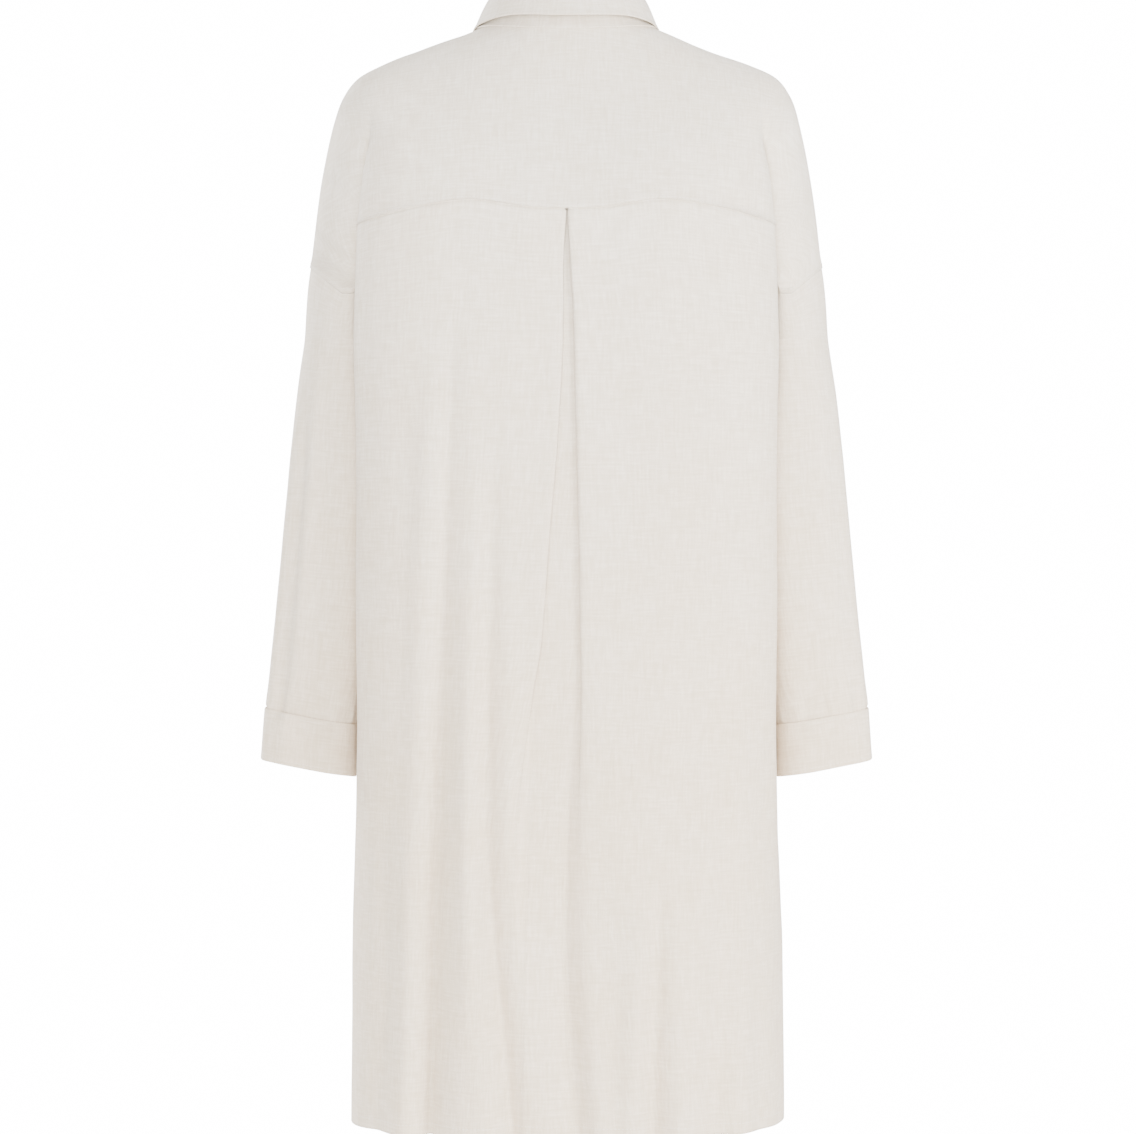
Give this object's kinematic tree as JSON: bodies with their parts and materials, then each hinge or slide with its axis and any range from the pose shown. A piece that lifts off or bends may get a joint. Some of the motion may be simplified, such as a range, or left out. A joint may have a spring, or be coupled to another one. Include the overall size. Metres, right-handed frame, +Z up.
{
  "type": "worn linen shirt dress",
  "caption": "Loose knee-length shirt dress in pale linen, worn form with no wearer: turned-down collar, dropped shoulders, back yoke over a box pleat, long cuffed sleeves.",
  "frame": {"origin": "middle of the neck opening, level with the side points of the neck, where the wearer's shoulders carry the dress", "axes": "+Z up along the dress, wearer faces +Y, wearer's right hand at +X, back of the dress towards -Y"},
  "size_m": [0.5916, 0.2918, 1.0786],
  "materials": {
    "linen": "off-white plain-weave linen, matt, slightly slubby",
    "button_shell": "pale shell-like button, soft shine"
  },
  "bodies": {
    "root": {"yoke": "linen", "back": "linen", "front_left": "linen", "front_right": "linen", "sleeve_left": "linen", "sleeve_right": "linen", "cuff_left": "linen", "cuff_right": "linen", "collar_stand": "linen", "collar_fall": "linen", "placket": "linen", "button_1": "button_shell", "button_2": "button_shell", "button_3": "button_shell", "button_4": "button_shell", "button_5": "button_shell", "button_6": "button_shell", "button_7": "button_shell", "button_8": "button_shell"}
  },
  "joints": []
}
